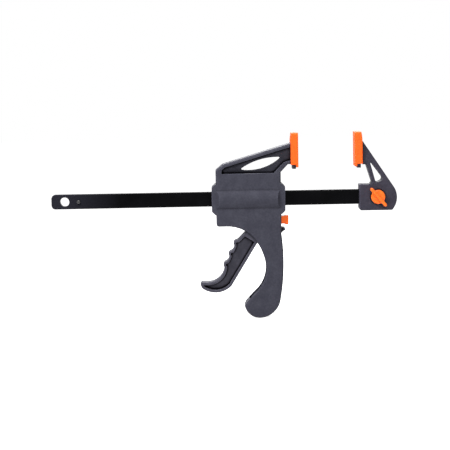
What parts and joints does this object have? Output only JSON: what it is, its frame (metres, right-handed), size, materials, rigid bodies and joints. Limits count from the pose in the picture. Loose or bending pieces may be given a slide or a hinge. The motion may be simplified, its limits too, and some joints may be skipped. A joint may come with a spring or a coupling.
{
  "type": "quick release bar clamp",
  "caption": "One-handed bar clamp: a sliding pistol-grip handle with trigger and release button carries one jaw; the other jaw is screwed to the bar's end; soft pads clip onto both jaws.",
  "frame": {"origin": "centre of the hanging hole at the free end of the bar, on the bar's mid-plane", "axes": "+X along the bar from the hanging hole to the fixed jaw, +Z from the bar up to the jaws, +Y to the rear, away from the wing knob; the grip hangs down along -Z"},
  "size_m": [0.2803, 0.0267, 0.1498],
  "materials": {
    "bar_black": "smooth black, half gloss",
    "housing_grey": "dark grey glass-filled plastic, fine satin",
    "trigger_grey": "dark grey glass-filled plastic, fine satin",
    "orange_pad": "soft orange moulding, matte",
    "orange_plastic": "orange moulding, satin",
    "plated_steel": "zinc plated",
    "plate_steel": "stamped, hardened, lightly oiled",
    "spring_steel": "drawn wire",
    "washer_black": "black oxide"
  },
  "bodies": {
    "frame": {"bar": "bar_black", "bar_stop_pin": "bar_black", "fixed_jaw": "housing_grey", "lock_nut": "plated_steel"},
    "handle": {"handle_front_shell": "housing_grey", "handle_rear_shell": "housing_grey", "handle_screws": "plated_steel", "trigger_pin": "plated_steel", "drive_spring": "spring_steel", "brake_spring": "spring_steel"},
    "trigger": {"trigger": "trigger_grey"},
    "drive": {"drive_plate_inner": "plate_steel", "drive_plate_outer": "plate_steel"},
    "brake": {"brake_plate": "plate_steel", "release_button": "orange_plastic"},
    "moving_pad": {"moving_jaw_pad": "orange_pad"},
    "fixed_pad": {"fixed_jaw_pad": "orange_pad"},
    "washer": {"lock_washer": "washer_black"},
    "knob": {"lock_knob": "orange_plastic", "lock_screw": "plated_steel"}
  },
  "joints": [
    {"name": "handle_slide", "type": "slide", "parent": "frame", "child": "handle", "axis": [1, 0, 0], "range_m": [-0.1065, 0.0453]},
    {"name": "trigger_squeeze", "type": "hinge", "parent": "handle", "child": "trigger", "pos_m": [0.1552, 0, -0.0165], "axis": [0, -1, 0], "range_deg": [0, 20], "stiffness_Nm_per_rad": 0.08, "springref_deg": -14.32},
    {"name": "drive_feed", "type": "slide", "parent": "handle", "child": "drive", "axis": [-1, 0, 0], "range_m": [0, 0.0025], "deforming": ["drive_spring"]},
    {"name": "release_press", "type": "hinge", "parent": "handle", "child": "brake", "pos_m": [0.1664, 0, 0.0103], "axis": [0, 1, 0], "range_deg": [0, 5], "stiffness_Nm_per_rad": 0.05, "springref_deg": -5.73, "deforming": ["brake_spring"]},
    {"name": "moving_pad_slide", "type": "slide", "parent": "handle", "child": "moving_pad", "axis": [0, 0, 1], "range_m": [0, 0.027]},
    {"name": "fixed_pad_slide", "type": "slide", "parent": "frame", "child": "fixed_pad", "axis": [0, 0, 1], "range_m": [0, 0.027]},
    {"name": "screw_travel", "type": "slide", "parent": "frame", "child": "washer", "axis": [0, -1, 0], "range_m": [0, 0.003]},
    {"name": "knob_turn", "type": "hinge", "parent": "washer", "child": "knob", "pos_m": [0.254, 0, 0], "axis": [0, -1, 0], "range_deg": [0, 1085]}
  ],
  "couplings": [
    {"joint": "drive_feed", "follows": "trigger_squeeze", "m_per_rad": 0.007},
    {"joint": "knob_turn", "follows": "screw_travel", "rad_per_m": 6283.2}
  ]
}
